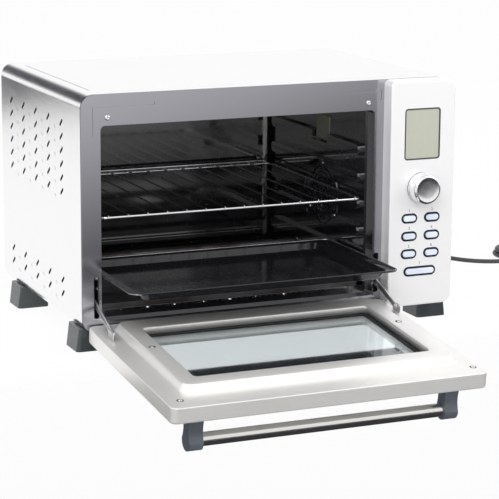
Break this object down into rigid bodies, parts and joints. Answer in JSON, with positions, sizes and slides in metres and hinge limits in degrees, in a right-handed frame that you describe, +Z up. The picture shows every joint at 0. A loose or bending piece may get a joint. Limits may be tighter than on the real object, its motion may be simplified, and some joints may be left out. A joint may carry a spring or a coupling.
{
  "type": "toaster oven",
  "caption": "Countertop toaster oven with a drop-down glass door, side control panel with display, knob and buttons, slide-out tray, wire rack and mains cord.",
  "frame": {"origin": "in the plane of the feet's soles, under the middle of the casing", "axes": "+X to the right seen from the front, +Y from the door to the rear, +Z up"},
  "size_m": [0.9242, 0.7956, 0.3877],
  "materials": {
    "brushed_steel_case": "fine brushed, near white",
    "galvanised_sheet": "plain zinc-coated sheet",
    "painted_bezel": "semi-gloss grey",
    "bright_screws": "bright nickel",
    "black_enamel": "glossy black enamel",
    "heater_metal": "dull heat-stained steel",
    "ceramic": "white ceramic",
    "fan_metal": "pressed aluminium",
    "mica": "pale grey-brown mica",
    "lamp_glass": "frosted bulb and holder",
    "panel_steel": "fine brushed, near white",
    "button_ring_plastic": "dark navy gloss",
    "button_plastic": "pale blue-white satin",
    "display_clear": "clear over a grey-green display",
    "display_back": "unlit liquid crystal",
    "circuit_board": "green board",
    "switch_body": "black",
    "knob_metal": "turned, bright",
    "door_steel": "brushed along the width",
    "oven_glass": "clear tempered glass",
    "seal_rubber": "black",
    "clip_steel": "plain pressed steel",
    "handle_plastic": "dark blue-grey, fine texture",
    "handle_steel": "bright brushed tube",
    "tray_enamel": "glossy black enamel",
    "chrome_wire": "bright chrome wire",
    "crumb_sheet": "dark coated sheet",
    "foot_plastic": "dark grey moulded",
    "cord_rubber": "dark grey sheath"
  },
  "bodies": {
    "oven": {"base_plate": "galvanised_sheet", "bezel_screws": "bright_screws", "button_rings": "button_ring_plastic", "casing_wrap": "brushed_steel_case", "cavity_back": "black_enamel", "cavity_floor": "black_enamel", "cavity_left_wall": "black_enamel", "cavity_right_wall": "black_enamel", "cavity_roof": "black_enamel", "control_board": "circuit_board", "control_panel": "panel_steel", "cord_coil": "cord_rubber", "display_module": "display_back", "display_window": "display_clear", "encoder": "switch_body", "fan_grille": "black_enamel", "fan_motor": "fan_metal", "fan_shroud": "galvanised_sheet", "foot_front_left": "foot_plastic", "foot_front_right": "foot_plastic", "foot_rear_left": "foot_plastic", "foot_rear_right": "foot_plastic", "front_bezel": "painted_bezel", "heat_shield": "galvanised_sheet", "heater_ends": "ceramic", "heating_rods": "heater_metal", "hinge_lugs": "clip_steel", "lamp": "lamp_glass", "lamp_cover": "mica", "mains_cord": "cord_rubber", "mains_plug": "cord_rubber", "rear_panel": "galvanised_sheet", "strain_relief": "cord_rubber", "wall_screws": "bright_screws"},
    "door": {"door_shell": "door_steel", "door_liner": "door_steel", "door_glass": "oven_glass", "glass_gasket": "seal_rubber", "glass_clamps": "clip_steel", "door_screws": "bright_screws", "handle_post_left": "handle_plastic", "handle_post_right": "handle_plastic", "handle_bar": "handle_steel", "hinge_pins": "bright_screws", "arm_lugs": "clip_steel"},
    "left_arm": {"hinge_arm_left": "clip_steel"},
    "right_arm": {"hinge_arm_right": "clip_steel"},
    "tray": {"baking_tray": "tray_enamel"},
    "rack": {"wire_rack": "chrome_wire"},
    "crumb_pan": {"crumb_tray": "crumb_sheet"},
    "knob": {"knob": "knob_metal"},
    "fan": {"fan_blade": "fan_metal", "fan_shaft": "fan_metal"},
    "button_1": {"button_1": "button_plastic"},
    "button_2": {"button_2": "button_plastic"},
    "button_3": {"button_3": "button_plastic"},
    "button_4": {"button_4": "button_plastic"},
    "button_5": {"button_5": "button_plastic"},
    "button_6": {"button_6": "button_plastic"},
    "button_7": {"button_7": "button_plastic"}
  },
  "joints": [
    {"name": "door_hinge", "type": "hinge", "parent": "oven", "child": "door", "pos_m": [0, -0.176, 0.0306], "axis": [-1, 0, 0], "range_deg": [0, 95.3]},
    {"name": "left_arm_pivot", "type": "hinge", "parent": "door", "child": "left_arm", "pos_m": [-0.241, -0.22988, 0.03765], "axis": [-1, 0, 0], "range_deg": [-60.4, 0]},
    {"name": "right_arm_pivot", "type": "hinge", "parent": "door", "child": "right_arm", "pos_m": [0.156, -0.22988, 0.03765], "axis": [-1, 0, 0], "range_deg": [-60.4, 0]},
    {"name": "tray_slide", "type": "slide", "parent": "oven", "child": "tray", "axis": [0, 1, 0], "range_m": [0, 0.1905]},
    {"name": "rack_slide", "type": "slide", "parent": "oven", "child": "rack", "axis": [0, 1, 0], "range_m": [-0.12, 0]},
    {"name": "crumb_tray_slide", "type": "slide", "parent": "oven", "child": "crumb_pan", "axis": [0, 1, 0], "range_m": [-0.15, 0]},
    {"name": "knob_turn", "type": "hinge", "parent": "oven", "child": "knob", "pos_m": [0.211, -0.192, 0.1864], "axis": [0, 1, 0], "continuous": true},
    {"name": "fan_spin", "type": "hinge", "parent": "oven", "child": "fan", "pos_m": [0.1455, -0.032, 0.1535], "axis": [1, 0, 0], "continuous": true},
    {"name": "button_1_press", "type": "slide", "parent": "oven", "child": "button_1", "axis": [0, 1, 0], "range_m": [0, 0.001], "stiffness_N_per_m": 200, "springref_m": -0.002},
    {"name": "button_2_press", "type": "slide", "parent": "oven", "child": "button_2", "axis": [0, 1, 0], "range_m": [0, 0.001], "stiffness_N_per_m": 200, "springref_m": -0.002},
    {"name": "button_3_press", "type": "slide", "parent": "oven", "child": "button_3", "axis": [0, 1, 0], "range_m": [0, 0.001], "stiffness_N_per_m": 200, "springref_m": -0.002},
    {"name": "button_4_press", "type": "slide", "parent": "oven", "child": "button_4", "axis": [0, 1, 0], "range_m": [0, 0.001], "stiffness_N_per_m": 200, "springref_m": -0.002},
    {"name": "button_5_press", "type": "slide", "parent": "oven", "child": "button_5", "axis": [0, 1, 0], "range_m": [0, 0.001], "stiffness_N_per_m": 200, "springref_m": -0.002},
    {"name": "button_6_press", "type": "slide", "parent": "oven", "child": "button_6", "axis": [0, 1, 0], "range_m": [0, 0.001], "stiffness_N_per_m": 200, "springref_m": -0.002},
    {"name": "button_7_press", "type": "slide", "parent": "oven", "child": "button_7", "axis": [0, 1, 0], "range_m": [0, 0.001], "stiffness_N_per_m": 200, "springref_m": -0.002}
  ],
  "couplings": [
    {"joint": "left_arm_pivot", "follows": "door_hinge", "ratio": -0.63274},
    {"joint": "right_arm_pivot", "follows": "door_hinge", "ratio": -0.63274},
    {"joint": "tray_slide", "follows": "door_hinge", "m_per_rad": 0.11423}
  ]
}
